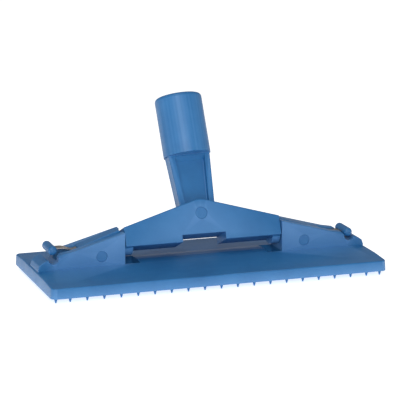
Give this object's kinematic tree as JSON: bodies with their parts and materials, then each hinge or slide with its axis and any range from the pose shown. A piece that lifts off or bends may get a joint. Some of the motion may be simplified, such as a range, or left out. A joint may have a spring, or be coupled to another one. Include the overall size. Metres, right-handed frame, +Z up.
{
  "type": "swivelling pad holder",
  "caption": "Rectangular floor pad holder with a spiked underside, sprung end clamps and a swivelling, tilting handle socket.",
  "frame": {"origin": "centre of the plate's flat underside, at the level the spikes stand out of", "axes": "+X along the plate, -Y the front, +Z up; the handle leans back towards +Y at rest"},
  "size_m": [0.235, 0.1033, 0.1208],
  "materials": {
    "blue_plastic": "moulded, semi-matte",
    "stainless": "rolled strip",
    "acetal": "smooth"
  },
  "bodies": {
    "base": {"base_shell": "blue_plastic", "spiked_sole": "blue_plastic", "sole_screws": "stainless", "trunnion_pin_left": "stainless", "trunnion_pin_right": "stainless", "lever_pin_left": "blue_plastic", "lever_pin_right": "blue_plastic"},
    "yoke": {"yoke": "blue_plastic", "cross_pin": "blue_plastic", "friction_washer_front": "acetal", "friction_washer_rear": "acetal", "trunnion_bush_left": "acetal", "trunnion_bush_right": "acetal"},
    "handle": {"handle_socket": "blue_plastic"},
    "clamp_left": {"clamp_lever_left": "blue_plastic", "leaf_spring_left": "stainless", "spring_rivets_left": "stainless", "clamp_bar_left": "blue_plastic"},
    "clamp_right": {"clamp_lever_right": "blue_plastic", "leaf_spring_right": "stainless", "spring_rivets_right": "stainless", "clamp_bar_right": "blue_plastic"}
  },
  "joints": [
    {"name": "yoke_tilt", "type": "hinge", "parent": "base", "child": "yoke", "pos_m": [0, 0, 0.0213], "axis": [1, 0, 0], "range_deg": [-46, 93]},
    {"name": "handle_swing", "type": "hinge", "parent": "yoke", "child": "handle", "pos_m": [0, 0.00582, 0.03469], "axis": [0, 0.9171, -0.3987], "range_deg": [-43, 47]},
    {"name": "clamp_left_lift", "type": "hinge", "parent": "base", "child": "clamp_left", "pos_m": [-0.0722, 0, 0.0157], "axis": [0, 1, 0], "range_deg": [-9, 5], "stiffness_Nm_per_rad": 1.5},
    {"name": "clamp_right_lift", "type": "hinge", "parent": "base", "child": "clamp_right", "pos_m": [0.0722, 0, 0.0157], "axis": [0, -1, 0], "range_deg": [-3, 5], "stiffness_Nm_per_rad": 1.5}
  ]
}
